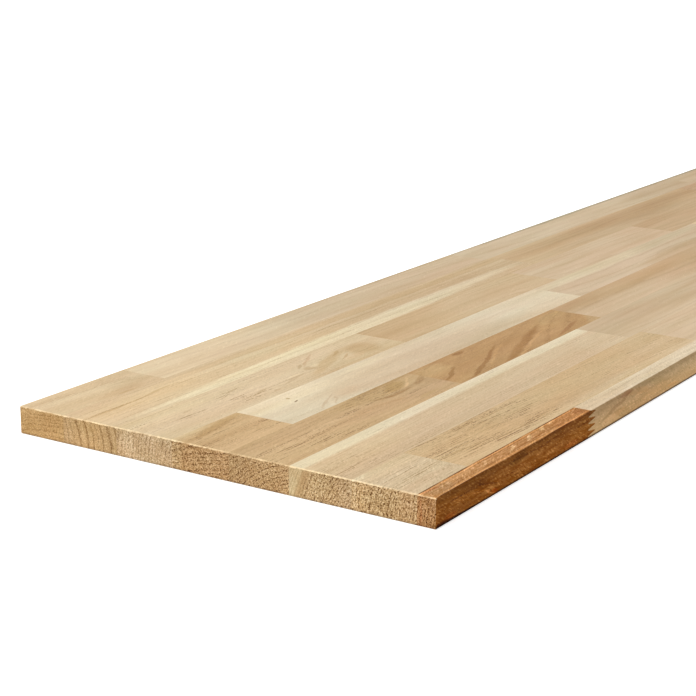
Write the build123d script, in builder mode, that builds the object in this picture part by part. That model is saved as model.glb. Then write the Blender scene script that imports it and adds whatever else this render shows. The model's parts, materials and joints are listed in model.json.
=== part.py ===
from build123d import *
import math
import os

# Glued laminated hardwood panel. Short staves are finger jointed end to end into rows,
# the rows are glued edge to edge, and the glued blank is sanded flat and sawn to length.
# X runs along the grain, Y across the rows and Z up through the thickness.
# The origin is at the middle of the underside. All sizes are in millimetres.

# Finished panel
panel_length = 2000.0
panel_width = 300.0
panel_thickness = 18.0
arris_radius = 0.8  # sanded round along every outside edge

# Rows across the width, counted from the near edge
edge_strip_width = 12.0  # the first row, ripped narrow when the blank was trimmed
lamella_width = 42.0  # each full row; the last row takes what is left of the width
narrowest_rip = 8.0  # a remainder thinner than this stays on the row before it

# Finger joint between two staves, whose teeth show on the panel's long edges
finger_length = 10.0  # from the root of one stave's fingers to the root of the other's
finger_pitch = 4.3  # from one finger to the next, through the thickness
finger_tip_width = 0.6  # flat at the end of each finger
tip_clearance = 0.3  # pocket left for glue beyond each finger tip
top_finger_depth = 1.3  # from the top face to the middle of the uppermost finger

# Lengths of the staves in each row from the front end, joint centre to joint centre.
# The list starts again where a row needs more staves, and the saw cuts the last one.
stave_lengths_by_row = [
    [193.0, 364.0, 280.0, 430.0, 250.0, 483.0],
    [57.0, 333.0, 292.0, 410.0, 350.0, 265.0, 293.0],
    [370.0, 302.0, 425.0, 245.0, 380.0, 278.0],
    [200.0, 212.0, 325.0, 265.0, 430.0, 240.0, 328.0],
    [66.0, 400.0, 326.0, 445.0, 285.0, 310.0, 168.0],
    [268.0, 239.0, 240.0, 395.0, 330.0, 270.0, 258.0],
    [550.0, 412.0, 265.0, 350.0, 423.0],
    [100.0, 440.0, 465.0, 310.0, 245.0, 440.0],
]
shortest_end_stave = 40.0  # no joint comes closer than this to the far end


def row_edges():
    """Y of every glue line, from the near edge to the far edge of the panel."""
    edges = [-panel_width / 2, -panel_width / 2 + edge_strip_width]
    while panel_width / 2 - edges[-1] >= lamella_width + narrowest_rip:
        edges.append(edges[-1] + lamella_width)
    edges.append(panel_width / 2)
    return edges


def joint_places(lengths):
    """X of every joint centre in one row, with the panel's two ends first and last."""
    places = [-panel_length / 2]
    while True:
        next_joint = places[-1] + lengths[(len(places) - 1) % len(lengths)]
        if next_joint > panel_length / 2 - shortest_end_stave:
            break
        places.append(next_joint)
    places.append(panel_length / 2)
    return places


def heights_down_from(uppermost):
    """Middle heights of the fingers or valleys from the uppermost one past the underside."""
    count = math.ceil(panel_thickness / finger_pitch) + 1
    return [uppermost - step * finger_pitch for step in range(count)]


# The finished outline of the glued blank, with its outside edges sanded round
with BuildPart() as sanded_outline:
    with BuildSketch(Plane.XY):
        Rectangle(panel_length, panel_width)
    extrude(amount=panel_thickness)
    fillet(sanded_outline.edges(), radius=arris_radius)

# One tapered valley between two fingers, opening towards +X from its root.
# The origin is the middle of the joint, at the valley's mid height.
root_half = finger_tip_width / 2
mouth_half = (finger_pitch - finger_tip_width) / 2
with BuildSketch(Plane.XY) as finger_valley:
    with BuildLine():
        Polyline(
            (-finger_length / 2, -root_half),
            (finger_length / 2, -mouth_half),
            (finger_length / 2, mouth_half),
            (-finger_length / 2, root_half),
            close=True,
        )
    make_face()

os.makedirs("parts", exist_ok=True)

glue_lines = row_edges()
tip_reach = finger_length / 2 - tip_clearance  # how far a finger runs past the joint centre

# The valleys in a stave's near end take the fingers of the stave before it, which set the
# pattern, and the valleys in its far end lie half a pitch above them.
near_end_heights = heights_down_from(panel_thickness - top_finger_depth)
far_end_heights = heights_down_from(panel_thickness - top_finger_depth + finger_pitch / 2)

for row, (near_side, far_side) in enumerate(zip(glue_lines, glue_lines[1:])):
    joints = joint_places(stave_lengths_by_row[row % len(stave_lengths_by_row)])
    last_stave = len(joints) - 2
    for index, (start, end) in enumerate(zip(joints, joints[1:])):
        joined_before = index > 0
        joined_after = index < last_stave
        blank_start = start - tip_reach if joined_before else start
        blank_end = end + tip_reach if joined_after else end
        with BuildPart() as stave:
            # The side profile is drawn on the row's far side and carried to its near side
            with BuildSketch(Plane.XZ.offset(-far_side)):
                with Locations(((blank_start + blank_end) / 2, panel_thickness / 2)):
                    Rectangle(blank_end - blank_start, panel_thickness)
                if joined_before:
                    with Locations(*[(start, height) for height in near_end_heights]):
                        add(finger_valley.sketch, rotation=180, mode=Mode.SUBTRACT)
                if joined_after:
                    with Locations(*[(end, height) for height in far_end_heights]):
                        add(finger_valley.sketch, mode=Mode.SUBTRACT)
            extrude(amount=far_side - near_side)
            add(sanded_outline.part, mode=Mode.INTERSECT)
        stave.part.label = f"row_{row + 1}_stave_{index + 1}"
        export_step(stave.part, f"parts/{stave.part.label}.step")
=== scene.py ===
import json
import math
import random
from types import SimpleNamespace

import bpy
import numpy as np
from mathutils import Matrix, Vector


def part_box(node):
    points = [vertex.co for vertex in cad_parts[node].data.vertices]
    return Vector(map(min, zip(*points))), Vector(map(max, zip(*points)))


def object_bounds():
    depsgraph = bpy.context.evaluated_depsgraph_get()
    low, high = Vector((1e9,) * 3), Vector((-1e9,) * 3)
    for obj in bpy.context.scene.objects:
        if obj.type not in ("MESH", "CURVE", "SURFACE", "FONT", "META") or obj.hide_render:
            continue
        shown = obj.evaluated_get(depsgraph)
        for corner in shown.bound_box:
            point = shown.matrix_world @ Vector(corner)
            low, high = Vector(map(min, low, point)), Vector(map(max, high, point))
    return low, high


# Dresses the glued laminated panel: every stave gets its own piece of solid oak grain, cut from a
# log whose pith, ring width and slope are set stave by stave, so that faces, edges and ends agree.

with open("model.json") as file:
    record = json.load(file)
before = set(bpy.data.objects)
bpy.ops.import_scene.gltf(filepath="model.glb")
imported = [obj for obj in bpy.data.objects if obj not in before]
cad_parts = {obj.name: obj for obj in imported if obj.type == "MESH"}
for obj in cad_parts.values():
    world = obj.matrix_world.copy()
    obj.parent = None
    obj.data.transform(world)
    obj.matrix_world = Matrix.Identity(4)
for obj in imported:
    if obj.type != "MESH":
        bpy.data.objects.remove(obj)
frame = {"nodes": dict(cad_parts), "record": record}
cadLow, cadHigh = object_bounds()
mmPerMetre = 1000
print("frame loaded:", len(frame["nodes"]), "staves")


# Small helpers for wiring nodes

def addNode(tree, kind, **settings):
    made = tree.nodes.new(kind)
    for name, value in settings.items():
        setattr(made, name, value)
    return made


def feed(socket, value):
    # a socket is linked, anything else becomes the input's own value
    if isinstance(value, bpy.types.NodeSocket):
        socket.id_data.links.new(value, socket)
    else:
        socket.default_value = value


def nodeFrom(kind, inputs, **settings):
    # a node with these inputs, in the tree where the first of them that is a socket stands
    linked = [value for value in inputs.values() if isinstance(value, bpy.types.NodeSocket)]
    made = addNode(linked[0].id_data, kind, **settings)
    for key, value in inputs.items():
        feed(made.inputs[key], value)
    return made


def calc(operation, *values):
    return nodeFrom("ShaderNodeMath", dict(enumerate(values)), operation=operation).outputs[0]


def product(first, *others):
    for other in others:
        first = calc("MULTIPLY", first, other)
    return first


def changedBy(factor, change):
    # 1 where the factor is 0, and 1 plus the change where it is 1
    return calc("MULTIPLY_ADD", factor, change, 1.0)


def calcVector(operation, *values, output=0):
    made = nodeFrom("ShaderNodeVectorMath", dict(enumerate(values)), operation=operation)
    return made.outputs[output]


def joinXyz(*values):
    return nodeFrom("ShaderNodeCombineXYZ", dict(enumerate(values))).outputs[0]


def grey(value):
    return joinXyz(value, value, value)


def splitXyz(vector):
    return nodeFrom("ShaderNodeSeparateXYZ", {0: vector}).outputs


def smoothStep(value, low, high, outLow=0.0, outHigh=1.0):
    inputs = {"Value": value, "From Min": low, "From Max": high, "To Min": outLow, "To Max": outHigh}
    return nodeFrom("ShaderNodeMapRange", inputs, interpolation_type="SMOOTHSTEP").outputs[0]


def blendColour(factor, first, second, mode="MIX"):
    # a mix node keeps its colours in the inputs 6 and 7 and the outcome in output 2
    inputs = {0: factor, 6: first, 7: second}
    made = nodeFrom("ShaderNodeMix", inputs, data_type="RGBA", blend_type=mode, clamp_factor=True)
    return made.outputs[2]


def tinted(factor, colour, tint):
    # the colour times the tint where the factor is 1, and untouched where it is 0
    if not isinstance(tint, bpy.types.NodeSocket):
        tint = (*tint, 1.0)
    return blendColour(factor, colour, tint, "MULTIPLY")


def noiseAt(place, cell, detail=2.0, rough=0.5, output=0):
    # cell is the size in mm of one blotch along x, y and z
    inputs = {"Vector": calcVector("DIVIDE", place, cell), "Scale": 1.0, "Detail": detail,
              "Roughness": rough}
    return nodeFrom("ShaderNodeTexNoise", inputs, noise_dimensions="3D").outputs[output]


def blotchesAt(place, cell, rise, share=(0.0, 1.0)):
    # blotches that go from the share's first value to its second where the noise is in the rise
    return smoothStep(noiseAt(place, cell, 1.0), *rise, *share)


def cellsAt(place, cell):
    # distance in cells to the nearest scattered point, and a random number for that point
    inputs = {"Vector": calcVector("DIVIDE", place, cell), "Scale": 1.0}
    made = nodeFrom("ShaderNodeTexVoronoi", inputs, voronoi_dimensions="3D", feature="F1")
    return made.outputs[0], splitXyz(made.outputs[1])[0]


def rampOf(value, stops):
    made = nodeFrom("ShaderNodeValToRGB", {0: value})
    points = made.color_ramp.elements
    while len(points) < len(stops):
        points.new(0.5)
    for point, (place, level) in zip(points, stops):
        point.position = place
        point.color = (level, level, level, 1)
    return made.outputs[0]


def fromDisplay(colour, tint=(1, 1, 1)):
    # display values 0-255 to the linear colour that a shader takes, times a tint
    values = []
    for channel, factor in zip(colour, tint):
        c = channel / 255
        linear = c / 12.92 if c <= 0.04045 else ((c + 0.055) / 1.055) ** 2.4
        values.append(min(linear * factor, 0.92))  # no wood is whiter
    return (*values, 1.0)


# What the wood group asks for, which is one group that every stave's material uses. A stave that
# doesn't state a value takes it from here.
woodInputs = {
    "centre": (0, 0, 0),  # middle of the stave, mm
    "halfSize": (100, 21, 9),  # half of its length, width and thickness, mm
    "seed": (0, 0, 0),  # mm that shift every random pattern
    "ringTilt": 25,  # degrees, so that 0 is flat sawn and 90 quarter sawn
    "pithDistance": 90,  # from the stave's middle to the log's, mm
    "runOut": 0.012,  # how fast the rings climb along the stave
    "ringWidth": 2.6,  # mm
    "wander": 1.6,  # how far the rings stray, mm
    "eyePlace": (0, 0, 0),  # a swirl's middle, mm
    "eyeSize": (20, 8, 30),  # its half size, mm
    "eyeLift": 0.0,  # how many mm of rings it pushes aside
    "ground": (0.7, 0.55, 0.33, 1),
    "line": (0.5, 0.34, 0.17, 1),
    "pore": (0.32, 0.2, 0.1, 1),
    "ringStrength": 0.4,
    "poreStrength": 0.6,
    "fleckStrength": 0.06,
    "zoneEdge": 500,  # rings past this many mm take the zone's colour
    "zoneBlur": 2.0,  # mm
    "zoneColour": fromDisplay((235, 220, 188)),  # sapwood
    "toneChange": 0.45,
    "streakStrength": 0.5,  # fine light and dark lines along the grain
    "speckleStrength": 0.8,  # how coarse the sawn ends look
    "endRings": 0.5,  # how dark the rings are on the sawn ends
    "glueWidth": 0.45,  # mm
    "glueStrength": 0.25,
    "sideTint": (0.95, 0.76, 0.56, 1),  # deepens the planed long edges, partly their own colour and partly painted warm shade
    "endTint": (0.83, 0.72, 0.6, 1),  # deepens the sawn ends
}


def titleOf(key):
    # a stave's ringWidth is the wood group's input Ring Width
    return "".join(" " + letter if letter.isupper() else letter for letter in key).title()


# How squarely a surface faces along or across before it begins to count as a sawn end or a long
# edge, and before it counts in full
cutEdges = {"end": (0.45, 0.9), "side": (0.5, 0.85)}


def findSurface(tree, given):
    # where a point lies, in mm from the stave's middle, and which way the surface looks there
    at = SimpleNamespace()
    objectPlace = addNode(tree, "ShaderNodeTexCoord").outputs["Object"]
    inMm = calcVector("MULTIPLY", objectPlace, [mmPerMetre] * 3)
    at.local = calcVector("SUBTRACT", inMm, given.centre)
    at.seeded = calcVector("ADD", at.local, given.seed)
    at.x, at.y, at.z = splitXyz(at.local)
    _, at.halfWidth, at.halfThickness = splitXyz(given.halfSize)

    # along the grain on a sawn end, sideways on a long edge
    normal = addNode(tree, "ShaderNodeNewGeometry").outputs["True Normal"]
    normalX, normalY, at.upwards = splitXyz(normal)
    at.along = calc("ABSOLUTE", normalX)
    at.sideways = calc("ABSOLUTE", normalY)
    at.endCut = smoothStep(at.along, *cutEdges["end"])
    at.notEnd = calc("SUBTRACT", 1.0, at.endCut)
    at.sideCut = smoothStep(at.sideways, *cutEdges["side"])
    return at


# Each size below is the mm of one blotch, along x, y and z or along the grain, outwards from the
# pith and round it. A rise is where noise, which swings by about a quarter round 0.5, goes from
# nothing to all. A rim is the same for the distance from a scattered point, in cells. A shift keeps
# one pattern apart from the others.

ringShape = {
    "slowWave": (140, 34, 34),
    "wobble": (22, 5, 5),
    "wobbleReach": 1.1,  # mm that a wobble moves a ring, at most about half of it either way
    "unevenness": 2.4,  # how much wide and narrow years differ
    "faintest": 0.2,  # strength of the weakest year, next to 1 for the strongest
    # over one year, from its start at 0 to its end at 1: the dark line, and the open first wood
    "line": ((0.0, 0.9), (0.1, 0.7), (0.26, 0.1), (0.5, 0.0), (0.84, 0.2), (1.0, 0.55)),
    "firstWood": ((0.0, 0.8), (0.1, 1.0), (0.34, 0.05), (0.7, 0.0), (0.93, 0.1), (1.0, 0.8)),
}


def growRings(given, at):
    # distance from the pith, less the stave's own distance, is the radial coordinate
    sine = calc("SINE", given.ringTilt)
    cosine = calc("COSINE", given.ringTilt)
    fromPithY = calc("ADD", at.y, product(sine, given.pithDistance))
    fromPithZ = calc("ADD", at.z, product(cosine, given.pithDistance))
    reach = calcVector("LENGTH", joinXyz(0, fromPithY, fromPithZ), output=1)
    radial = calc("SUBTRACT", reach, given.pithDistance)
    radial = calc("MULTIPLY_ADD", at.x, given.runOut, radial)
    at.tangent = calc("SUBTRACT", product(at.y, cosine), product(at.z, sine))

    # long slow waves as far as the rings wander, then small wobbles
    slow = calc("SUBTRACT", noiseAt(at.seeded, ringShape["slowWave"], 1.0), 0.5)
    radial = calc("MULTIPLY_ADD", slow, product(given.wander, 4.0), radial)
    at.wobble = calc("SUBTRACT", noiseAt(at.seeded, ringShape["wobble"], 2.0), 0.5)
    radial = calc("MULTIPLY_ADD", at.wobble, ringShape["wobbleReach"], radial)

    # a swirl where the rings bulge round a hidden branch: lift times exp(-(distance/size)^2)
    toEye = calcVector("DIVIDE", calcVector("SUBTRACT", at.local, given.eyePlace), given.eyeSize)
    eyeSquare = calcVector("DOT_PRODUCT", toEye, toEye, output=1)
    eyeShape = calc("EXPONENT", product(eyeSquare, -1.0))
    at.radial = calc("MULTIPLY_ADD", eyeShape, given.eyeLift, radial)

    # years of uneven width, each with a strength of its own
    evenYears = calc("DIVIDE", at.radial, given.ringWidth)
    uneven = noiseAt(joinXyz(evenYears, 0.0, 3.7), (3.0, 3.0, 3.0), 0.0)
    shift = calc("MULTIPLY_ADD", uneven, ringShape["unevenness"], splitXyz(given.seed)[0])
    years = calc("ADD", evenYears, shift)
    at.phase = calc("FRACT", years)
    dice = nodeFrom("ShaderNodeTexWhiteNoise", {"W": calc("FLOOR", years)}, noise_dimensions="1D")
    faintest = ringShape["faintest"]
    at.thisRing = calc("MULTIPLY_ADD", dice.outputs[0], 1 - faintest, faintest)
    at.line = rampOf(at.phase, ringShape["line"])
    at.firstWood = rampOf(at.phase, ringShape["firstWood"])
    ringPlace = joinXyz(at.x, at.radial, at.tangent)
    at.ringPlace = calcVector("ADD", ringPlace, given.seed)


poreShape = {
    "crowd": (38, 6, 6),  # where pores crowd together
    "crowdShift": (7.0, 91.0, 23.0),
    "crowdRise": (0.36, 0.62),
    "crowdShare": (0.15, 1.0),
    "lineSpacing": 2.2,  # mm from one line of pores to the next
    "lineRise": (0.1, 0.8),  # of a sine wave across the lines
    "lineStray": (60, 5, 5),
    "strayReach": 9.0,  # how far a line strays, where one spacing is 2 pi
    "lineBreak": (24, 1.7, 1.7),  # where a line comes and goes
    "breakRise": (0.4, 0.58),
    "inLateWood": 0.3,  # share of the lines outside the first wood
    "onLongEdge": 0.45,  # least share of the lines there
    "bead": (1.3, 1.0, 1.0),
    "beadRise": (0.4, 0.56),
    "beadShare": (0.3, 1.0),
    "filledRise": (0.42, 0.3),  # pale filler between the beads
    "tube": (5.5, 0.5, 0.5),  # room for one single pore
    "tubeRim": (0.36, 0.18),
    "tubeStrength": 0.7,
    "lessOnLongEdge": -0.6,  # added to the strength of pores there
    "endDot": (9.0, 0.66, 0.82),
    "openRise": (0.49, 0.39),
    "filledDotRise": (0.54, 0.66),
    # how open the pores of a sawn end are, over one year
    "endRow": ((0.0, 0.8), (0.2, 1.0), (0.45, 0.4), (0.8, 0.35), (1.0, 0.8)),
    "nearSapwood": 9.0,  # mm over which the dots of a sawn end fade towards sapwood
    "inSapwood": -0.75,  # added to their strength there
}


def openPores(given, at):
    # long beaded dashes, thick in each ring's first wood and where they crowd
    shifted = calcVector("ADD", at.seeded, poreShape["crowdShift"])
    crowd = blotchesAt(shifted, poreShape["crowd"], poreShape["crowdRise"], poreShape["crowdShare"])
    across = calc("DIVIDE", calc("ADD", at.radial, at.tangent), poreShape["lineSpacing"] / math.tau)
    stray = noiseAt(at.ringPlace, poreShape["lineStray"], 1.0)
    across = calc("MULTIPLY_ADD", stray, poreShape["strayReach"], across)
    unbroken = blotchesAt(at.ringPlace, poreShape["lineBreak"], poreShape["breakRise"])
    lines = product(smoothStep(calc("SINE", across), *poreShape["lineRise"]), unbroken)
    inLateWood = poreShape["inLateWood"]
    inRing = calc("MULTIPLY_ADD", product(at.firstWood, at.thisRing), 1 - inLateWood, inLateWood)
    share = calc("MAXIMUM", product(inRing, crowd), product(at.sideCut, poreShape["onLongEdge"]))
    beadNoise = noiseAt(at.seeded, poreShape["bead"], 0.0)
    beads = smoothStep(beadNoise, *poreShape["beadRise"], *poreShape["beadShare"])
    dashes = product(lines, beads, share, at.notEnd)
    filler = smoothStep(beadNoise, *poreShape["filledRise"])
    at.filled = product(lines, filler, share, at.notEnd)

    # single pores: long thin tubes, thick in each ring's first wood and sparse after it
    tube, tubeDice = cellsAt(at.seeded, poreShape["tube"])
    single = smoothStep(tube, *poreShape["tubeRim"])
    single = product(single, calc("MULTIPLY_ADD", at.firstWood, 0.7, 0.25), tubeDice)
    pores = calc("MAXIMUM", dashes, product(single, poreShape["tubeStrength"]))
    at.pores = product(pores, changedBy(at.sideCut, poreShape["lessOnLongEdge"]))

    # the same pores seen end on: a network of dark dots in rows along the rings, and pale wood between
    speckle = noiseAt(at.ringPlace, poreShape["endDot"], 0.5)
    fadeStart = calc("SUBTRACT", given.zoneEdge, poreShape["nearSapwood"])
    towardsZone = smoothStep(at.radial, fadeStart, given.zoneEdge)
    at.onSawnEnd = product(at.endCut, given.speckleStrength,
                           changedBy(towardsZone, poreShape["inSapwood"]))
    at.openDots = product(smoothStep(speckle, *poreShape["openRise"]),
                          rampOf(at.phase, poreShape["endRow"]), at.onSawnEnd)
    at.filledDots = product(smoothStep(speckle, *poreShape["filledDotRise"]), at.onSawnEnd)


rayShape = {
    "plate": (13.0, 22.0, 1.7),  # rays on the faces: thin plates outwards from the pith
    "plateShift": (3.0, 5.0, 19.0),
    "plateRim": (0.34, 0.18),
    "endLine": (12, 11, 0.9),  # rays on the ends: fine pale lines square to the rings
    "endRise": (0.5, 0.68),
    "fleckSlant": math.radians(28),  # how far the pale flecks lean off the grain
    "fleck": (15.0, 1.9, 30.0),
    "fleckRim": (0.34, 0.2),
    "fleckChance": (0.6, 0.85),  # of a random number, so that few cells hold one
    "fleckWobble": 3,  # mm
    "scratch": (3.6, 0.9, 20),
    "paleScratchRise": (0.6, 0.7),
    "darkScratchRise": (0.38, 0.28),
}


def crossRays(given, at):
    shifted = calcVector("ADD", at.ringPlace, rayShape["plateShift"])
    ray, rayDice = cellsAt(shifted, rayShape["plate"])
    at.rays = product(smoothStep(ray, *rayShape["plateRim"]), rayDice)
    rayLines = blotchesAt(at.ringPlace, rayShape["endLine"], rayShape["endRise"])
    at.rayLines = product(rayLines, at.onSawnEnd)

    # short pale flecks and light and dark scratches cross the grain at a slant, on the faces and
    # the long edges alike
    lean = rayShape["fleckSlant"]
    aside = calc("SUBTRACT", at.y, at.z)
    leanedX = calc("MULTIPLY_ADD", at.x, math.cos(lean), product(aside, math.sin(lean)))
    leanedY = calc("MULTIPLY_ADD", at.x, -math.sin(lean), product(aside, math.cos(lean)))
    sweep = calcVector("ADD", given.seed, joinXyz(leanedX, leanedY, calc("ADD", at.y, at.z)))
    sway = calcVector("MULTIPLY", joinXyz(0, at.wobble, 0), (0, rayShape["fleckWobble"], 0))
    sweep = calcVector("ADD", sweep, sway)
    fleck, fleckDice = cellsAt(sweep, rayShape["fleck"])
    fleck = smoothStep(fleck, *rayShape["fleckRim"])
    at.flecks = product(fleck, smoothStep(fleckDice, *rayShape["fleckChance"]), at.notEnd)
    scratch = noiseAt(sweep, rayShape["scratch"], 0.5)
    pale = smoothStep(scratch, *rayShape["paleScratchRise"])
    dark = smoothStep(scratch, *rayShape["darkScratchRise"])
    at.scratch = calc("SUBTRACT", pale, dark)


# Tints are what the colour's red, green and blue are multiplied by
woodColours = {
    "cloud": (150, 13, 13),  # drifts between straw and honey
    "cloudTint": (0.7, 1.0, 1.5),
    "hue": (110, 18, 18),  # drifts between pink and green
    "hueShift": (31.0, 57.0, 11.0),
    "hueRise": (0.3, 0.7),
    "pink": (1.014, 0.993, 0.985, 1),
    "green": (0.99, 1.006, 0.99, 1),
    "zoneShare": 0.85,  # how much of its own colour the zone takes
    "poreLimit": 0.85,  # the most that a pore covers
    "ringSharpness": 1.4,  # of the dark rings on a sawn end
    "rayOnEnd": (1.25, 1.28, 1.3),
    "filledPore": (1.3, 1.38, 1.5),
    "openDot": (0.24, 0.145, 0.06),
    "filledDot": (1.4, 1.58, 1.9),
    "ray": (1.3, 1.27, 1.18),
    "fleck": (1.9, 2.2, 2.5),
    "fleckOnLongEdge": -0.65,  # added to the flecks' strength there
}


def colourWood(given, at):
    ground = blendColour(product(at.line, at.thisRing, given.ringStrength), given.ground, given.line)
    zone = smoothStep(at.radial, calc("SUBTRACT", given.zoneEdge, given.zoneBlur),
                      calc("ADD", given.zoneEdge, given.zoneBlur))
    ground = blendColour(product(zone, woodColours["zoneShare"]), ground, given.zoneColour)

    cloud = noiseAt(at.seeded, woodColours["cloud"], 2.0)
    cloud = product(calc("SUBTRACT", cloud, 0.5), given.toneChange)
    cloudTint = calcVector("MULTIPLY", grey(cloud), woodColours["cloudTint"])
    cloudTint = calcVector("ADD", cloudTint, (1, 1, 1))
    ground = tinted(1.0, ground, cloudTint)
    shifted = calcVector("ADD", at.seeded, woodColours["hueShift"])
    drift = blotchesAt(shifted, woodColours["hue"], woodColours["hueRise"])
    hueTint = blendColour(drift, woodColours["pink"], woodColours["green"])
    ground = tinted(1.0, ground, hueTint)

    sharpLine = calc("POWER", at.line, woodColours["ringSharpness"])
    ringsOnEnd = product(sharpLine, at.thisRing, at.endCut, given.endRings)
    ground = blendColour(ringsOnEnd, ground, given.pore)
    ground = tinted(product(at.rayLines, 0.5), ground, woodColours["rayOnEnd"])
    poreShare = calc("MINIMUM", product(at.pores, given.poreStrength), woodColours["poreLimit"])
    ground = blendColour(poreShare, ground, given.pore)
    filledShare = calc("MINIMUM", product(at.filled, given.poreStrength), woodColours["poreLimit"])
    ground = tinted(filledShare, ground, woodColours["filledPore"])
    ground = tinted(at.openDots, ground, woodColours["openDot"])
    ground = tinted(at.filledDots, ground, woodColours["filledDot"])
    ground = tinted(product(at.rays, given.fleckStrength), ground, woodColours["ray"])
    flecks = product(at.flecks, changedBy(at.sideCut, woodColours["fleckOnLongEdge"]),
                     given.fleckStrength)
    ground = tinted(flecks, ground, woodColours["fleck"])

    # sawn ends take the finish deeper than the sanded faces; the long edges are partly deeper in colour
    # and partly painted with warm shade
    ground = tinted(at.endCut, ground, given.endTint)
    return tinted(at.sideCut, ground, given.sideTint)


streakShape = {
    "hair": (26, 0.8, 3.2),  # fine lines along the grain
    "silk": (15, 1.4, 1.4),  # soft sheen along it
    "hairShare": 0.24,
    "silkShare": 0.4,
    "scratchShare": 0.14,
    "moreOnLongEdge": 0.06,  # added to the scratches there
    "strength": 0.8,
    "darkest": -0.14,  # keeps a dark streak from taking a whole channel away
    "power": 0.55,
    "leastColour": (0.003, 0.003, 0.003),
}


def addStreaks(given, at, ground):
    at.hair = noiseAt(at.ringPlace, streakShape["hair"], 3.0, 0.6)
    at.silk = noiseAt(at.seeded, streakShape["silk"], 2.0, 0.6)
    streaks = product(calc("SUBTRACT", at.hair, 0.5), streakShape["hairShare"])
    silk = calc("SUBTRACT", at.silk, 0.5)
    streaks = calc("MULTIPLY_ADD", silk, streakShape["silkShare"], streaks)
    scratchShare = calc("MULTIPLY_ADD", at.sideCut, streakShape["moreOnLongEdge"],
                        streakShape["scratchShare"])
    streaks = calc("ADD", product(at.scratch, at.notEnd, scratchShare), streaks)

    # they add a power of each channel, which looks as strong in a dark channel as in a bright one
    spread = nodeFrom("ShaderNodeGamma", {"Color": ground, "Gamma": streakShape["power"]})
    shade = product(streaks, given.streakStrength, streakShape["strength"])
    shade = calc("MAXIMUM", shade, streakShape["darkest"])
    shade = calcVector("MULTIPLY", spread.outputs[0], grey(shade))
    return calcVector("MAXIMUM", calcVector("ADD", ground, shade), streakShape["leastColour"])


# Painted light and wear: painted shade on the long edges' tops, a pale corner that is partly scuffing
# and partly a painted highlight, and painted contact shade along the lower corners
paintedLightAndWear = {
    "paintedShadeOnLongEdge": 0.38,  # how much darker the painted shade makes an edge's top than its middle
    "paintedShadeOnEnd": 0.05,
    "scuffAndHighlightDot": (6, 2.0, 1.6),
    "scuffAndHighlightDotRise": (0.4, 0.58),
    "scuffAndHighlightDotShare": (0.25, 1.0),
    "scuffAndHighlightDepth": (0.25, -0.15),  # mm under the top, less what the dots reach down
    "scuffAndHighlightReach": -1.25,
    "cornerRise": (0.12, 0.36),  # of how the sanded round looks up and along at once
    "scuffAndHighlightTint": (1.4, 1.35, 1.3),
    "scuffAndHighlightColour": (250, 226, 184),  # display values
    "scuffAndHighlightPatch": (20, 7, 7),
    "patchRise": (0.36, 0.56),
    "patchShare": (0.35, 1.0),
    "paintedContactShadeFades": (2.0, 1.0),  # mm over the underside
    "paintedContactShadeRound": (-0.98, -0.8),  # how the sanded round looks down
    "paintedContactShadeOnEnd": 0.25,
    "paintedContactShadeOnLongEdge": 0.7,  # more there
    "paintedContactShadeTint": (0.14, 0.11, 0.09),
}


def paintedLightAndWearSurface(given, at, ground):
    # painted shade: the long edges, and the sawn ends a little, are darker towards their top
    upwards = calc("DIVIDE", at.z, at.halfThickness)
    paintedShade = calc("MULTIPLY_ADD", at.sideCut, paintedLightAndWear["paintedShadeOnLongEdge"],
                   product(at.endCut, paintedLightAndWear["paintedShadeOnEnd"]))
    paintedShadeFactor = calc("SUBTRACT", 1.0, product(upwards, paintedShade))
    ground = tinted(1.0, ground, grey(paintedShadeFactor))

    # the sanded corner of a sawn end is made pale, in dots as wide as the pores: partly scuffing,
    # partly a painted highlight along the rounded corner
    belowTop = calc("SUBTRACT", at.halfThickness, at.z)
    dots = noiseAt(at.seeded, paintedLightAndWear["scuffAndHighlightDot"], 1.0)
    belowDots = calc("MULTIPLY_ADD", dots, paintedLightAndWear["scuffAndHighlightReach"], belowTop)
    nearTop = smoothStep(belowDots, *paintedLightAndWear["scuffAndHighlightDepth"])
    corner = smoothStep(product(at.along, at.upwards), *paintedLightAndWear["cornerRise"])
    corner = product(corner, smoothStep(dots, *paintedLightAndWear["scuffAndHighlightDotRise"], *paintedLightAndWear["scuffAndHighlightDotShare"]))
    corner = calc("MAXIMUM", corner, product(at.along, nearTop))
    scuffedAndHighlit = tinted(1.0, given.ground, paintedLightAndWear["scuffAndHighlightTint"])
    scuffedAndHighlit = blendColour(0.5, scuffedAndHighlit, fromDisplay(paintedLightAndWear["scuffAndHighlightColour"]))
    wornAndHighlit = blotchesAt(at.seeded, paintedLightAndWear["scuffAndHighlightPatch"], paintedLightAndWear["patchRise"], paintedLightAndWear["patchShare"])
    ground = blendColour(product(corner, wornAndHighlit), ground, scuffedAndHighlit)

    # painted contact shadow: the lower corners are darkened, most of all on the long edges
    overBottom = calc("ADD", at.halfThickness, at.z)
    bothWays = calc("ADD", calc("ADD", at.sideways, at.along), 0.01)
    longEdge = calc("DIVIDE", at.sideways, bothWays)
    paintedContactShade = product(smoothStep(overBottom, *paintedLightAndWear["paintedContactShadeFades"]),
                    smoothStep(at.upwards, *paintedLightAndWear["paintedContactShadeRound"]),
                    calc("MULTIPLY_ADD", longEdge, paintedLightAndWear["paintedContactShadeOnLongEdge"], paintedLightAndWear["paintedContactShadeOnEnd"]))
    return tinted(paintedContactShade, ground, paintedLightAndWear["paintedContactShadeTint"])


glueLine = {
    "sharpEdge": 0.2,  # where the thread is at its darkest, as a share of the glue width
    "comesAndGoes": (34, 34, 34),
    "rise": (0.4, 0.65),
    "share": (0.2, 1.0),
    "seamEdges": (2.4, 1.6),  # of the pale strip beside it, in glue widths
    "seamShare": 0.3,
    "seamTint": (1.35, 1.3, 1.2),
}


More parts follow.
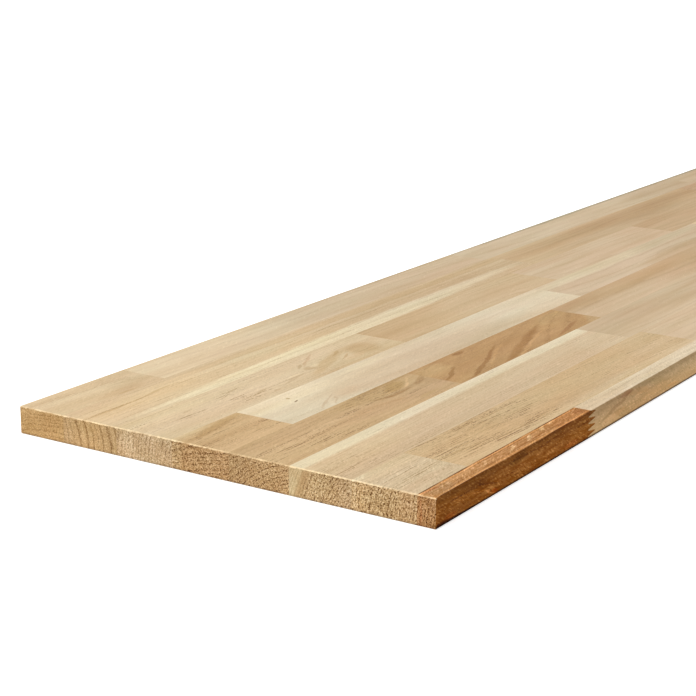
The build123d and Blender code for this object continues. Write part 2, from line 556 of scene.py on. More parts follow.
def addGlueLine(given, at, ground):
    # a faint dark thread here and there where a row's side shows on the faces, pale beside it
    toSide = calc("SUBTRACT", at.halfWidth, calc("ABSOLUTE", at.y))
    darkest = product(given.glueWidth, glueLine["sharpEdge"])
    glue = smoothStep(toSide, given.glueWidth, darkest)
    onFace = calc("MAXIMUM", calc("SUBTRACT", at.notEnd, at.sideCut), 0.0)
    glue = product(glue, onFace, given.glueStrength)
    glue = product(glue, blotchesAt(at.seeded, glueLine["comesAndGoes"], glueLine["rise"],
                                    glueLine["share"]))
    seam = smoothStep(calc("DIVIDE", toSide, given.glueWidth), *glueLine["seamEdges"])
    seam = product(seam, onFace, given.glueStrength, glueLine["seamShare"])
    ground = tinted(seam, ground, glueLine["seamTint"])
    return blendColour(glue, ground, given.pore)


relief = {
    "smoothest": 0.52,  # roughness of the finish, to which the silk and the pores add
    "silkRough": 0.16,
    "poreRough": 0.15,
    "poreHeight": -0.16,  # mm
    "silkHeight": 0.05,
    "hairHeight": 0.04,
    "strength": 0.8,
}


def makeWoodGroup():
    tree = bpy.data.node_groups.new("solidOak", "ShaderNodeTree")
    kinds = {1: "NodeSocketFloat", 3: "NodeSocketVector", 4: "NodeSocketColor"}
    for key, value in woodInputs.items():
        kind = kinds[np.size(value)]
        socket = tree.interface.new_socket(titleOf(key), in_out="INPUT", socket_type=kind)
        socket.default_value = value
    for name, kind in (("Colour", "NodeSocketColor"), ("Roughness", "NodeSocketFloat"),
                       ("Normal", "NodeSocketVector")):
        tree.interface.new_socket(name, in_out="OUTPUT", socket_type=kind)
    inputs = tree.nodes.new("NodeGroupInput").outputs
    given = SimpleNamespace(**{key: inputs[titleOf(key)] for key in woodInputs})
    result = tree.nodes.new("NodeGroupOutput").inputs

    at = findSurface(tree, given)
    growRings(given, at)
    openPores(given, at)
    crossRays(given, at)
    ground = colourWood(given, at)
    ground = addStreaks(given, at, ground)
    ground = paintedLightAndWearSurface(given, at, ground)
    ground = addGlueLine(given, at, ground)
    feed(result["Colour"], ground)

    rough = calc("MULTIPLY_ADD", at.silk, relief["silkRough"], relief["smoothest"])
    rough = calc("MULTIPLY_ADD", at.pores, relief["poreRough"], rough)
    feed(result["Roughness"], rough)
    height = calc("MULTIPLY_ADD", at.pores, relief["poreHeight"],
                  product(at.silk, relief["silkHeight"]))
    height = calc("MULTIPLY_ADD", at.hair, relief["hairHeight"], height)
    bump = nodeFrom("ShaderNodeBump", {
        "Height": height,
        "Distance": 1 / mmPerMetre,  # m for each mm of height
        "Strength": relief["strength"],
    })
    feed(result["Normal"], bump.outputs[0])
    return tree


# What the staves are cut from. Colours are display values.
tones = {
    "straw": {"ground": (226, 202, 163), "line": (200, 168, 122), "pore": (156, 122, 78)},
    "tan": {"ground": (214, 182, 138), "line": (182, 144, 98), "pore": (132, 95, 56)},
    "rosy": {"ground": (216, 190, 156), "line": (190, 158, 120), "pore": (150, 116, 80)},
    "cream": {"ground": (230, 213, 182), "line": (212, 189, 152), "pore": (172, 146, 108)},
    "hazel": {"ground": (204, 175, 138), "line": (172, 138, 98), "pore": (134, 102, 66)},
    "nut": {"ground": (193, 150, 102), "line": (150, 106, 60), "pore": (116, 78, 40)},
    "russet": {"ground": (196, 140, 86), "line": (150, 92, 46), "pore": (106, 58, 24)},
}

# What a stave may state beside the wood's inputs. A swirl's place, a stroke's and a pore zone's are
# in mm from the panel's front end and near edge.
commonStave = {
    "tone": "tan",
    "tint": (1, 1, 1),  # of all its colours
    "specular": 0.12,
    "strokes": (),  # streaks and patches of other colour
    "poreZones": (),  # where there are more pores, by the number that stands for their tint
}
# The photograph shows less and less of the grain with distance
halfFarOff = {"poreStrength": 0.3, "streakStrength": 0.25}
farOff = {"poreStrength": 0.2, "streakStrength": 0.2}


def stroke(middle, halfLength, halfWidth, tint, slope=0.0, bend=0.0, soft=0.6):
    # a streak of other colour, its middle in mm from the panel's front end and near edge
    return {"middle": middle, "halfLength": halfLength, "halfWidth": halfWidth, "tint": tint,
            "slope": slope, "bend": bend, "soft": soft}


def patch(middle, halfLength, halfWidth, tint, slope=0.0):
    return stroke(middle, halfLength, halfWidth, tint, slope, soft=0.9)


# The staves that the photograph shows, each as it looks there
seenStaves = {
    "row_1_stave_1": {
        "tone": "russet", "tint": (0.98, 1.05, 1.14), "ringTilt": 78, "runOut": 0.0,
        "ringWidth": 1.8, "poreStrength": 1.8, "streakStrength": 2.2, "fleckStrength": 0.4,
        "speckleStrength": 1.1, "toneChange": 0.8, "specular": 0.03, "glueWidth": 1.1,
        "glueStrength": 2.4, "sideTint": (0.71, 0.49, 0.185, 1), "endTint": (0.8, 0.785, 0.76, 1),
        "strokes": (
            stroke((187, 6), 5, 9, (0.8, 0.72, 0.64)),
            stroke((20, 6), 45, 9, (1.09, 1.13, 1.18)),
            stroke((14, 6.5), 12, 6.5, (0.87, 0.91, 0.96), soft=0.4),
            stroke((168, 6), 22, 8, (1.03, 0.95, 0.9)),
            stroke((9, 9.7), 8, 1.2, (0.95, 0.78, 0.72)),
            stroke((15, 8), 12, 0.6, (1.15, 1.25, 1.35)),
            stroke((66, 6), 5, 0.9, (1.3, 1.5, 1.8), slope=0.45, bend=0.02),
            stroke((98, 5.5), 7, 1.1, (1.4, 1.7, 2.1), slope=0.5, bend=0.01),
            stroke((123, 7), 6, 1.3, (1.42, 1.75, 2.2), slope=0.35),
            stroke((142, 9.5), 5, 1.3, (1.45, 1.8, 2.3), slope=0.45),
            stroke((155, 11), 5, 0.9, (1.38, 1.66, 2.0), slope=0.3),
            stroke((185, 9.5), 5, 0.8, (1.3, 1.5, 1.8), slope=0.4),
            stroke((60, 3.2), 50, 0.45, (0.78, 0.68, 0.56)),
            stroke((132, 4), 34, 0.45, (0.78, 0.68, 0.56)),
            stroke((95, 9.6), 60, 0.45, (0.8, 0.7, 0.6)),
            stroke((95, -4), 10, 2.6, (0.72, 0.7, 0.58)),
            stroke((44, -5), 14, 2.4, (0.82, 0.78, 0.7), slope=-0.1),
            stroke((58, -8.5), 11, 0.9, (0.68, 0.6, 0.48), slope=-0.3),
            stroke((16, -2.4), 22, 1.0, (0.8, 0.74, 0.6)),
            stroke((38, -9), 20, 0.7, (1.25, 1.27, 1.4), slope=-0.25),
            stroke((52, -11.5), 13, 0.6, (1.25, 1.27, 1.4), slope=-0.35),
            stroke((24, -8), 10, 0.6, (1.2, 1.22, 1.3), slope=-0.3),
            stroke((110, -9.5), 18, 2.2, (1.1, 1.12, 1.2)),
            stroke((178, -9), 14, 6, (1.06, 1.1, 1.12)),
            stroke((16, -14.5), 8, 1.4, (1.2, 1.0, 0.85)),
            stroke((67, -15), 5, 1.3, (1.28, 0.96, 0.75), slope=-0.25),
            stroke((165, -14.2), 9, 1.7, (1.2, 1.05, 1.05)),
            patch((8, -14), 26, 4, (0.84, 0.8, 0.76)),
            # painted contact shadow: a dark line along the bottom of the near long edge
            stroke((12, -16.9), 34, 1.3, (0.3, 0.2, 0.1)))},
    "row_1_stave_2": {
        "tone": "cream", "tint": (1.0, 0.98, 0.985), "ringTilt": 40, "streakStrength": 0.95,
        "fleckStrength": 0.05, "toneChange": 0.7, "sideTint": (0.99, 0.8, 0.56, 1),
        "strokes": (
            stroke((212, 6), 34, 9, (0.96, 0.94, 0.91)),
            stroke((228, -7), 24, 1.5, (0.8, 0.73, 0.66), slope=0.22),
            stroke((244, -2), 9, 1.5, (0.86, 0.74, 0.7)),
            stroke((264, -7.5), 6, 1.2, (1.13, 1.14, 1.15)),
            stroke((262, -4.5), 20, 2.2, (1.02, 0.96, 0.88), slope=-0.15),
            stroke((238, -13), 12, 2.5, (0.88, 0.86, 0.8), slope=-0.2),
            stroke((226, -12.5), 16, 2.2, (1.1, 1.06, 1.06), slope=0.1),
            stroke((292, -5), 12, 2.5, (0.93, 0.93, 0.86), slope=-0.2),
            stroke((296, -11), 22, 3, (1.06, 1.06, 1.04)),
            stroke((322, -14.5), 10, 1.5, (1.06, 0.96, 0.86), slope=-0.1))},
    "row_2_stave_1": {
        "tone": "straw", "tint": (0.93, 0.93, 0.94), "ringTilt": 82, "ringWidth": 2.1,
        "poreStrength": 0.9, "streakStrength": 1.0, "speckleStrength": 1.1,
        "endTint": (0.79, 0.65, 0.48, 1),
        "poreZones": (
            stroke((25, 32), 34, 12, 1.2, slope=-0.08),),
        "strokes": (
            stroke((28, 49), 40, 7, (1.1, 1.11, 1.13)),
            stroke((0, 52.5), 14, 2.4, (1.07, 1.12, 1.18)),
            stroke((28, 18), 40, 6, (0.985, 0.95, 0.945)))},
    "row_2_stave_2": {
        "tone": "tan", "tint": (0.98, 0.98, 0.97), "ringTilt": 76, "runOut": 0.07,
        "poreStrength": 0.9,
        "poreZones": (
            stroke((125, 51), 62, 7, 4.5, slope=-0.06),
            stroke((84, 31), 38, 7, 4.5, slope=-0.2),
            stroke((146, 21.5), 48, 4.5, 4.5),
            stroke((130, 38), 70, 9, 1.2)),
        "strokes": (
            stroke((84, 28.8), 22, 0.6, (0.82, 0.77, 0.68), slope=-0.11),
            stroke((85, 33), 17, 0.5, (0.86, 0.82, 0.74), slope=-0.07),
            stroke((88, 24), 11, 0.5, (0.88, 0.84, 0.77), slope=-0.04),
            stroke((93, 37), 12, 0.6, (0.86, 0.82, 0.74), slope=-0.08),
            stroke((94, 43), 9, 0.5, (0.88, 0.84, 0.77), slope=-0.05),
            stroke((146, 21.5), 36, 0.6, (0.83, 0.78, 0.69)),
            stroke((160, 19.3), 18, 0.5, (0.87, 0.83, 0.75)),
            stroke((132, 44), 22, 0.6, (0.84, 0.79, 0.7), slope=-0.04),
            stroke((122, 36), 9, 0.6, (0.86, 0.81, 0.73), slope=-0.04),
            stroke((122, 50.5), 12, 0.6, (0.87, 0.83, 0.75)),
            stroke((152, 48), 14, 0.5, (0.88, 0.84, 0.77)),
            patch((88, 26), 46, 22, (1.06, 1.07, 1.08)),
            patch((178, 42), 42, 13, (1.02, 1.055, 1.1)),
            patch((290, 32), 60, 16, (0.975, 0.985, 1.0)),
            stroke((300, 13), 110, 7, (1.07, 1.12, 1.19)),
            stroke((200, 33), 90, 14, (0.99, 0.985, 0.97)),
            stroke((235, 20), 50, 7, (0.96, 0.96, 0.99)),
            stroke((388, 33), 55, 28, (1.02, 1.08, 1.16), soft=1.0))},
    "row_2_stave_3": {
        "tone": "rosy", **halfFarOff},
    "row_3_stave_1": {
        "tone": "rosy", "tint": (1.01, 1.01, 0.98), "ringTilt": 65, "runOut": 0.0,
        "ringWidth": 2.1, "wander": 0.7, "poreStrength": 0.6, "speckleStrength": 1.0,
        "zoneEdge": 14.2, "zoneBlur": 1.8, "endTint": (0.78, 0.68, 0.54, 1),
        "poreZones": (
            stroke((18, 68), 34, 9, 2.0),
            stroke((70, 61), 40, 5, 1.2)),
        "strokes": (
            patch((15, 80), 75, 18, (1.08, 1.08, 1.04)),
            stroke((180, 60), 85, 6, (0.95, 0.94, 0.93)),
            patch((275, 70), 85, 15, (1.02, 1.03, 1.055)),
            stroke((355, 68), 35, 14, (1.02, 1.07, 1.1)))},
    "row_3_stave_2": {
        "tone": "rosy", "tint": (0.9, 0.9, 0.88), **farOff,
        "strokes": (
            stroke((430, 61), 110, 9, (1.07, 1.09, 1.11)),
            stroke((400, 89), 55, 7, (0.97, 0.94, 0.93)))},
    "row_4_stave_1": {
        "tone": "tan", "tint": (0.93, 0.92, 0.89), "ringTilt": 34, "runOut": 0.0,
        "poreStrength": 0.9, "speckleStrength": 1.05, "eyePlace": (160, 144), "eyeSize": (42, 17, 30),
        "eyeLift": 7.0, "endTint": (0.82, 0.731, 0.627, 1),
        "poreZones": (
            stroke((24, 116), 52, 6, 3.2),
            stroke((64, 103.5), 26, 4, 3.2, slope=-0.1),
            stroke((102, 121.5), 14, 3, 4.0),
            stroke((168, 112), 14, 2, 4.0),
            stroke((140, 128), 26, 9, 2.0)),
        "strokes": (
            patch((22, 108), 60, 17, (1.07, 1.065, 1.06)),
            patch((184, 110), 30, 14, (0.95, 0.95, 0.96)),
            stroke((146, 131), 42, 8, (0.93, 0.91, 0.85)),
            stroke((167, 129), 13, 5.5, (0.88, 0.84, 0.72), slope=0.25, soft=0.7),
            stroke((168, 137.5), 34, 1.8, (0.84, 0.81, 0.72)),
            stroke((158, 118.5), 15, 1.5, (0.78, 0.7, 0.58), slope=-0.04, bend=0.004),
            stroke((141, 121), 10, 1.3, (0.84, 0.78, 0.68), slope=-0.33),
            stroke((190, 123.5), 11, 2.2, (0.82, 0.76, 0.68), slope=0.36),
            stroke((179, 126), 9, 1.7, (1.17, 1.16, 1.18), slope=0.62, bend=0.02),
            stroke((160, 123.5), 18, 1.3, (1.07, 1.06, 1.06), slope=-0.03, bend=0.004),
            stroke((132, 114), 20, 1.0, (0.93, 0.89, 0.84), slope=-0.2),
            stroke((168, 102.5), 10, 2.0, (0.93, 0.92, 0.84)),
            stroke((95, 117), 28, 1.2, (1.07, 1.07, 1.08), slope=-0.22),
            stroke((155, 113), 65, 9, (0.95, 0.92, 0.91)),
            stroke((196, 118), 9, 20, (0.96, 0.94, 0.93), soft=1.0))},
    "row_4_stave_2": {
        "tone": "nut", "tint": (0.94, 0.97, 0.95), "ringTilt": 13.5, "pithDistance": 260,
        "runOut": -0.07, "ringWidth": 3.4, "ringStrength": 0.3,
        "strokes": (
            stroke((213, 113.5), 15, 1.7, (0.74, 0.66, 0.54), slope=0.4),
            stroke((212, 124), 20, 12, (1.08, 1.14, 1.18)),
            stroke((212, 131), 20, 7, (1.06, 1.1, 1.16)),
            patch((207, 103), 13, 6, (1.08, 1.1, 1.12)),
            stroke((252, 108), 42, 1.7, (0.74, 0.65, 0.53), slope=0.32, bend=0.001),
            stroke((276, 112.5), 26, 1.3, (1.14, 1.15, 1.16), slope=0.37),
            stroke((308, 108.8), 52, 3.6, (0.79, 0.71, 0.58), slope=0.3, soft=0.8),
            stroke((315, 105), 34, 1.4, (1.17, 1.18, 1.2), slope=0.28),
            stroke((368, 102.5), 22, 1.8, (0.83, 0.74, 0.68), slope=0.2),
            stroke((261, 134.5), 7, 2.8, (0.72, 0.63, 0.52)),
            stroke((364, 119), 15, 9, (1.09, 1.13, 1.16), soft=0.8),
            stroke((392, 124), 26, 10, (1.02, 1.07, 1.1)),
            stroke((405, 131), 11, 1.2, (1.1, 1.12, 1.12), slope=0.35),
            stroke((413, 103), 20, 8, (1.12, 1.25, 1.46), slope=0.5, soft=0.7))},
    "row_4_stave_3": {
        "tone": "rosy", "tint": (0.96, 0.95, 0.94), **halfFarOff,
        "strokes": (
            patch((490, 130), 150, 11, (0.85, 0.77, 0.65)),
            patch((430, 128), 50, 13, (0.93, 0.9, 0.87)),
            patch((600, 128), 60, 10, (1.07, 1.08, 1.1)),
            patch((700, 122), 80, 26, (0.93, 0.94, 0.9)),
            patch((665, 118), 110, 28, (0.9, 0.83, 0.76)))},
    "row_5_stave_1": {
        "tone": "tan", "tint": (1.01, 1.0, 0.965), "ringTilt": 15, "poreStrength": 1.0,
        "speckleStrength": 1.0, "endTint": (0.78, 0.67, 0.555, 1),
        "poreZones": (
            stroke((30, 150), 60, 8, 1.6),
            stroke((34, 171), 34, 6, 2.4, slope=0.12)),
        "strokes": (
            stroke((0, 183), 32, 9, (1.1, 1.2, 1.3)),
            stroke((36, 173.5), 28, 3.4, (0.9, 0.86, 0.78), slope=0.16))},
    "row_5_stave_2": {
        "tone": "cream", "tint": (0.97, 0.96, 0.96), "ringTilt": 20, "ringStrength": 0.3,
        "poreStrength": 0.35, "eyePlace": (132, 142), "eyeSize": (18, 8, 30), "eyeLift": 4.0,
        "strokes": (
            patch((130, 162), 75, 20, (1.03, 1.035, 1.03)),
            patch((310, 160), 80, 26, (0.965, 0.965, 0.97)),
            stroke((240, 158), 120, 24, (0.965, 0.925, 0.88)),
            stroke((75, 173), 75, 11, (1.15, 1.17, 1.17)),
            stroke((245, 148), 125, 17, (0.92, 0.89, 0.87)),
            stroke((115, 147), 15, 1.0, (0.89, 0.84, 0.79), slope=0.42),
            stroke((121, 144.5), 8, 0.8, (0.9, 0.85, 0.8), slope=0.55),
            stroke((113, 142.5), 3.5, 1.6, (1.08, 1.08, 1.1), slope=0.5),
            patch((142, 150), 16, 5, (0.95, 0.91, 0.87)),
            stroke((205, 174), 28, 3, (1.05, 1.07, 1.06)),
            stroke((105, 162.8), 4.5, 3.0, (1.05, 1.06, 1.07), slope=0.3),
            stroke((105, 162.8), 2.3, 0.9, (0.36, 0.28, 0.2), slope=0.3),
            stroke((108.3, 170.5), 1.7, 0.8, (0.6, 0.5, 0.34), slope=0.3))},
    "row_5_stave_3": {
        "tone": "rosy", "tint": (0.98, 1.0, 1.04), **halfFarOff,
        "strokes": (
            stroke((620, 173), 160, 8, (1.02, 1.07, 1.08)),
            stroke((690, 143), 90, 9, (0.9, 0.84, 0.76)),
            stroke((540, 174), 110, 8, (1.07, 1.1, 1.1)),
            patch((730, 160), 80, 26, (0.9, 0.89, 0.85)))},
    "row_6_stave_1": {
        "tone": "straw", "tint": (0.96, 0.95, 0.95), "ringTilt": 82, "speckleStrength": 0.66,
        "eyePlace": (173, 198), "eyeSize": (14, 7, 30), "eyeLift": 1.5,
        "endTint": (0.802, 0.715, 0.618, 1),
        "poreZones": (
            stroke((45, 200), 18, 2.5, 3.0),
            stroke((98, 208), 16, 4, 2.5),
            stroke((92, 197), 10, 4, 2.5),
            stroke((8, 210), 14, 4, 2.5),
            stroke((10, 198), 10, 2, 2.5),
            stroke((110, 190), 40, 5, 1.5)),
        "strokes": (
            patch((92, 203), 105, 26, (1.015, 1.035, 1.07)),
            stroke((41, 200), 9, 0.7, (0.84, 0.8, 0.74)),
            stroke((58, 199.5), 5, 0.6, (0.86, 0.82, 0.76)),
            stroke((47, 206), 4, 0.6, (0.86, 0.82, 0.76), slope=0.2),
            stroke((90, 199), 8, 0.6, (0.86, 0.82, 0.77)),
            stroke((102, 210.5), 8, 0.8, (0.86, 0.82, 0.77), slope=0.15),
            stroke((83, 205.5), 5, 0.7, (0.88, 0.84, 0.78), slope=0.2),
            patch((70, 195), 50, 12, (0.985, 0.96, 0.955)),
            patch((236, 198), 15, 11, (0.86, 0.79, 0.69)),
            patch((192, 197), 30, 4.5, (0.9, 0.84, 0.75), slope=0.33),
            patch((173, 198.5), 5.5, 4, (0.84, 0.78, 0.71)),
            stroke((182, 199.5), 5, 2, (1.08, 1.1, 1.11)),
            stroke((171, 206), 6, 1.2, (0.8, 0.75, 0.68), slope=0.4),
            stroke((187, 211), 14, 1.3, (0.9, 0.83, 0.78), slope=0.5),
            stroke((214, 205), 8, 1.1, (0.86, 0.8, 0.71), slope=0.3),
            stroke((209, 195), 9, 1.0, (0.87, 0.78, 0.7), slope=0.4),
            stroke((216, 191), 12, 4, (1.05, 1.02, 1.02)),
            stroke((108, 193.5), 9, 1.3, (0.87, 0.84, 0.78), slope=0.15),
            stroke((119, 187.5), 4, 1.4, (0.9, 0.86, 0.82)),
            stroke((145, 192.5), 12, 1.3, (0.87, 0.83, 0.78), slope=0.15),
            stroke((151, 196.5), 5, 0.9, (1.08, 1.08, 1.06), slope=0.1),
            stroke((210, 182), 70, 1.2, (0.93, 0.89, 0.84)),
            patch((50, 205), 110, 26, (1.05, 1.055, 1.05)),
            stroke((22, 215), 60, 9, (1.07, 1.07, 1.07)))},
    "row_6_stave_2": {
        "tone": "tan", "tint": (0.93, 0.93, 0.95), "poreStrength": 0.4, "streakStrength": 0.3,
        "strokes": (
            patch((450, 200), 90, 26, (1.03, 1.09, 1.17)),)},
    "row_6_stave_3": {
        "tone": "rosy", "tint": (0.955, 0.95, 0.95), **farOff,
        "strokes": (
            stroke((730, 200), 60, 26, (0.95, 0.92, 0.89), soft=1.0),)},
    "row_6_stave_4": {
        "tone": "hazel", "tint": (0.93, 0.91, 0.88), **farOff},
    "row_7_stave_1": {
        "tone": "straw", "tint": (0.93, 0.9, 0.88), "ringTilt": -78, "runOut": 0.0,
        "ringWidth": 4.4, "speckleStrength": 0.55, "endRings": 0.9,
        "endTint": (0.752, 0.651, 0.493, 1),
        "strokes": (
            stroke((20, 251), 110, 14, (1.1, 1.1, 1.12)),
            patch((156, 246), 48, 11, (1.0, 1.045, 1.09)),
            patch((505, 243), 65, 9, (0.975, 0.955, 0.93)),
            stroke((480, 228), 75, 7, (1.04, 1.04, 1.035)),
            stroke((460, 250), 190, 30, (0.91, 0.91, 0.91)),
            stroke((285, 230), 250, 8, (1.22, 1.38, 1.55), slope=0.02, soft=0.5),
            stroke((28, 246.8), 28, 0.8, (0.86, 0.81, 0.73), slope=0.03),
            stroke((76, 250), 20, 0.7, (0.88, 0.84, 0.77), slope=0.05),
            stroke((28, 241.5), 24, 0.6, (0.9, 0.86, 0.79), slope=0.02),
            stroke((70, 221.5), 40, 1.2, (0.92, 0.88, 0.8)),
            stroke((340, 257.5), 260, 4.5, (0.94, 0.9, 0.83)),
            patch((90, 240), 160, 16, (1.1, 1.1, 1.08)),
            patch((520, 230), 120, 22, (0.92, 0.89, 0.87)))},
    "row_7_stave_2": {
        "tone": "hazel", "tint": (1.04, 1.055, 1.03), **farOff,
        "strokes": (
            stroke((800, 249), 220, 13, (0.83, 0.78, 0.72), soft=1.2),
            stroke((920, 240), 190, 26, (0.92, 0.88, 0.84), soft=1.2),
            stroke((770, 228), 170, 10, (0.9, 0.91, 0.92), soft=1.0))},
    "row_7_stave_3": {
        "tone": "hazel", "tint": (0.86, 0.8, 0.76)},
    "row_8_stave_1": {
        "tone": "straw", "tint": (1.01, 0.985, 0.965), "ringTilt": 8, "speckleStrength": 0.5,
        "endRings": 0.3, "endTint": (0.763, 0.617, 0.416, 1),
        "strokes": (
            stroke((84, 280), 26, 24, (0.93, 0.92, 0.91), soft=0.7),
            stroke((60, 268), 24, 5, (0.93, 0.9, 0.86)),
            stroke((62, 264.6), 9, 1.0, (0.88, 0.83, 0.75)))},
    "row_8_stave_2": {
        "tone": "straw", "tint": (0.97, 0.96, 0.98), "poreStrength": 0.4, "streakStrength": 0.3,
        "strokes": (
            stroke((150, 280), 110, 30, (1.06, 1.09, 1.11)),
            patch((480, 274), 90, 17, (0.975, 0.94, 0.925)),
            stroke((420, 280), 190, 30, (0.89, 0.9, 0.93)),
            stroke((200, 270), 40, 7, (0.94, 0.91, 0.9)),
            stroke((114, 280), 26, 22, (1.03, 1.04, 1.05)),
            # painted shade: a dark line along the far edge
            stroke((450, 300), 140, 3.0, (0.82, 0.8, 0.75)))},
    "row_8_stave_3": {
        "tone": "rosy", "tint": (0.93, 0.97, 0.99), **farOff,
        "strokes": (
            patch((990, 282), 120, 30, (0.87, 0.84, 0.8)),
            # painted shade: a dark line along the far edge
            stroke((800, 300), 280, 4.4, (0.66, 0.7, 0.69)))},
    "row_8_stave_4": {
        "tone": "rosy", "tint": (0.84, 0.84, 0.82), **farOff,
        "strokes": (
            # painted shade: a dark line along the far edge
            stroke((1190, 300), 240, 4.8, (0.62, 0.67, 0.69)),)},
}


# Staves that the photograph doesn't show are cut by chance, in the tone of their material slot
slotTones = {"pale_sapwood": "cream", "brown_heartwood": "nut", "dark_red_heartwood": "russet"}
usualTones = ("tan", "straw", "rosy")
chanceSpans = {
    "ringTilt": (-85, 85), "pithDistance": (50, 160), "runOut": (-0.03, 0.03),
    "ringWidth": (1.8, 3.6), "wander": (0.8, 2.4), "poreStrength": (0.4, 0.85),
}


def chanceStave(dice, slotName):
    usual = dice.choice(usualTones)
    cut = {"tone": slotTones.get(slotName, usual)}
    for key, span in chanceSpans.items():
        cut[key] = dice.uniform(*span)
    return cut


def strokeMask(fromCorner, given):
    # 1 on the curve aside = slope u + bend u^2, with u along the grain, fading to 0 at its half sizes
    x, y, _ = splitXyz(calcVector("SUBTRACT", fromCorner, (*given["middle"], 0)))
    curve = product(x, calc("MULTIPLY_ADD", x, given["bend"], given["slope"]))
    aside = calc("DIVIDE", calc("SUBTRACT", y, curve), given["halfWidth"])
    ahead = calc("DIVIDE", x, given["halfLength"])
    reach = calcVector("LENGTH", joinXyz(ahead, aside, 0.0), output=1)
    return smoothStep(reach, 1.0 + given["soft"] / 2, 1.0 - given["soft"] / 2)


strokeWobble = {
    "blotch": (26, 6, 12),  # mm from one wobble to the next
    "reach": (14, 4, 0),  # mm that it moves a stroke's outline, at most about half of it either way
}


def placeOnPanel(tree, seed):
    # mm from the panel's front near corner, with a slow wobble; a long edge is laid out flat, so that
    # the near one lies below y = 0, by as much as it is under the top face
    objectPlace = addNode(tree, "ShaderNodeTexCoord").outputs["Object"]
    corner = calcVector("SUBTRACT", objectPlace, (cadLow[0], cadLow[1], cadHigh[2]))
    fromCorner = calcVector("MULTIPLY", corner, [mmPerMetre] * 3)
    sideways = splitXyz(addNode(tree, "ShaderNodeNewGeometry").outputs["True Normal"])[1]
    x, y, underTop = splitXyz(fromCorner)
    laidOut = calc("MULTIPLY_ADD", underTop, calc("ABSOLUTE", sideways), y)
    fromCorner = joinXyz(x, laidOut, underTop)
    seeded = calcVector("ADD", fromCorner, seed)
    wobble = noiseAt(seeded, strokeWobble["blotch"], output=1)
    wobble = calcVector("SUBTRACT", wobble, (0.5, 0.5, 0.5))
    wobble = calcVector("MULTIPLY", wobble, strokeWobble["reach"])
    return calcVector("ADD", fromCorner, wobble)


def addStrokes(tree, colour, strokes, seed):
    if not strokes:
        return colour
    place = placeOnPanel(tree, seed)
    for given in strokes:
        colour = tinted(strokeMask(place, given), colour, given["tint"])
    return colour


def poreStrengthOf(tree, base, zones, seed):
    # the stave's own pore strength, raised inside each zone
    if not zones:
        return base
    place = placeOnPanel(tree, seed)
    strength = base
    for given in zones:
        strength = calc("MULTIPLY_ADD", strokeMask(place, given), given["tint"], strength)
    return strength


seedReach = 900  # mm that a stave's patterns are shifted, at most


def makeWoodMaterial(name, cut, group):
    low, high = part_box(name)
    middle = [(a + b) / 2 * mmPerMetre for a, b in zip(low, high)]
    half = [(b - a) / 2 * mmPerMetre for a, b in zip(low, high)]
    dice = random.Random(name)
    seed = [dice.uniform(-seedReach, seedReach) for _ in range(3)]
    material = bpy.data.materials.new("oak_" + name)
    material.use_nodes = True
    tree = material.node_tree
    tree.nodes.clear()
    wood = addNode(tree, "ShaderNodeGroup")
    wood.node_tree = group

    values = {key: cut[key] for key in woodInputs}
    values.update(centre=middle, halfSize=half, seed=seed, ringTilt=math.radians(cut["ringTilt"]))
    if cut["eyeLift"]:
        eye = [cut["eyePlace"][k] + cadLow[k] * mmPerMetre - middle[k] for k in (0, 1)]
        values["eyePlace"] = (*eye, half[2])
    for key in ("ground", "line", "pore"):
        values[key] = fromDisplay(tones[cut["tone"]][key], cut["tint"])
    for key, value in values.items():
        wood.inputs[titleOf(key)].default_value = value
    poreStrength = poreStrengthOf(tree, cut["poreStrength"], cut["poreZones"], seed)
    feed(wood.inputs["Pore Strength"], poreStrength)

    shader = nodeFrom("ShaderNodeBsdfPrincipled", {
        "Base Color": addStrokes(tree, wood.outputs["Colour"], cut["strokes"], seed),
        "Roughness": wood.outputs["Roughness"],
        "Normal": wood.outputs["Normal"],
        "Specular IOR Level": cut["specular"],
    })
    nodeFrom("ShaderNodeOutputMaterial", {"Surface": shader.outputs[0]})
    return material


slotOf = {part["node"]: part["material_slot"] for part in frame["record"]["subparts"]}
woodGroup = makeWoodGroup()
for name in sorted(frame["nodes"]):
    stave = frame["nodes"][name]
    own = seenStaves.get(name) or chanceStave(random.Random(name + " cut"), slotOf[name])
    material = makeWoodMaterial(name, {**woodInputs, **commonStave, **own}, woodGroup)
    if not stave.material_slots:
        stave.data.materials.append(material)
    for slot in stave.material_slots:
        slot.material = material
print("staves dressed")


# Floor, light and camera

# Metres and degrees. The paper is matt and a little grey, and lifted to white for the camera alone.
studio = {
    "floorSize": 60.0, "floorDrop": 0.0002, "paperWhite": 0.86, "paperLift": 0.66,
    "worldLight": 0.43, "sunLight": 0.52, "sunFrom": (-0.50, 0.30, 0.81), "sunSpread": 50.0,
    "cameraPlace": (-1.779426, -0.595048, 0.345486), "cameraTurn": (74.747, -0.3988, -57.104),
    "cameraLens": 92.0, "sensorWidth": 36.0, "cameraRange": (0.01, 100),
}


def makeFloor(size, drop):
    # a flat grid: x and y run over the size, z stays just under the panel
    side = np.linspace(-size / 2, size / 2, 3)
    gridX, gridY = np.meshgrid(side, side, indexing="xy")
    points = np.column_stack([gridX.ravel(), gridY.ravel(), np.full(gridX.size, -drop)])
    count = len(side)
    corner = (np.arange(count - 1)[:, None] * count + np.arange(count - 1)[None, :]).ravel()
    faces = np.column_stack([corner, corner + 1, corner + 1 + count, corner + count])
    mesh = bpy.data.meshes.new("floor")
    mesh.from_pydata(points.tolist(), [], faces.tolist())
    floor = bpy.data.objects.new("floor", mesh)
    bpy.context.scene.collection.objects.link(floor)
    return floor


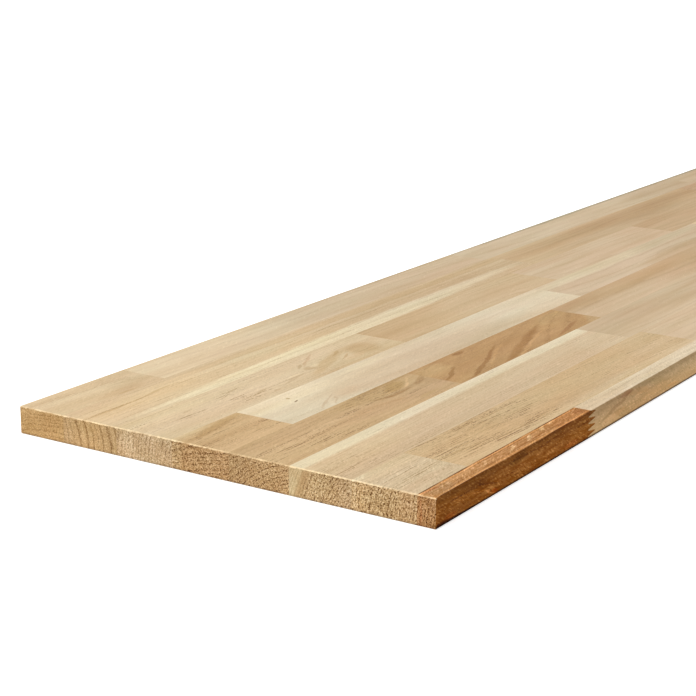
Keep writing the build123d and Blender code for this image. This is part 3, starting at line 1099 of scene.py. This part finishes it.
def makeFloorMaterial(white, lift):
    # matt white paper; the camera sees it lifted to white, and the shadow stays on it
    material = bpy.data.materials.new("paper")
    material.use_nodes = True
    tree = material.node_tree
    tree.nodes.clear()
    paper = addNode(tree, "ShaderNodeBsdfDiffuse")
    paper.inputs["Color"].default_value = (white, white, white, 1)
    ray = addNode(tree, "ShaderNodeLightPath")
    glow = addNode(tree, "ShaderNodeEmission")
    feed(glow.inputs["Strength"], product(ray.outputs["Is Camera Ray"], lift))
    both = nodeFrom("ShaderNodeAddShader", {0: paper.outputs[0], 1: glow.outputs[0]})
    nodeFrom("ShaderNodeOutputMaterial", {"Surface": both.outputs[0]})
    return material


def makeWorld(strength):
    world = bpy.data.worlds.new("studio")
    world.use_nodes = True
    tree = world.node_tree
    tree.nodes.clear()
    ray = addNode(tree, "ShaderNodeLightPath")
    seen = calc("MAXIMUM", ray.outputs["Is Camera Ray"], ray.outputs["Is Glossy Ray"])
    seen = calc("MAXIMUM", seen, ray.outputs["Is Transmission Ray"])
    level = calc("MULTIPLY_ADD", seen, 1.0 - strength, strength)
    sky = nodeFrom("ShaderNodeBackground", {"Color": (1, 1, 1, 1), "Strength": level})
    nodeFrom("ShaderNodeOutputWorld", {"Surface": sky.outputs[0]})
    bpy.context.scene.world = world


def makeSoftSun(name, comesFrom, spread, share):
    # share is how bright it makes a level white sheet, next to 1 for the whole studio
    toLight = Vector(comesFrom).normalized()
    lamp = bpy.data.lights.new(name, "SUN")
    lamp.angle = math.radians(spread)
    lamp.energy = share * math.pi / toLight.z
    sun = bpy.data.objects.new(name, lamp)
    sun.rotation_euler = toLight.to_track_quat("Z", "Y").to_euler()
    bpy.context.scene.collection.objects.link(sun)


def makeCamera():
    data = bpy.data.cameras.new("camera")
    data.lens = studio["cameraLens"]
    data.sensor_width = studio["sensorWidth"]
    data.clip_start, data.clip_end = studio["cameraRange"]
    camera = bpy.data.objects.new("camera", data)
    camera.location = studio["cameraPlace"]
    camera.rotation_euler = [math.radians(angle) for angle in studio["cameraTurn"]]
    bpy.context.scene.collection.objects.link(camera)
    bpy.context.scene.camera = camera


floor = makeFloor(studio["floorSize"], studio["floorDrop"])
floor.data.materials.append(makeFloorMaterial(studio["paperWhite"], studio["paperLift"]))
makeWorld(studio["worldLight"])
makeSoftSun("softSun", studio["sunFrom"], studio["sunSpread"], studio["sunLight"])
makeCamera()
bpy.context.scene.view_settings.view_transform = "Standard"
print("studio ready")
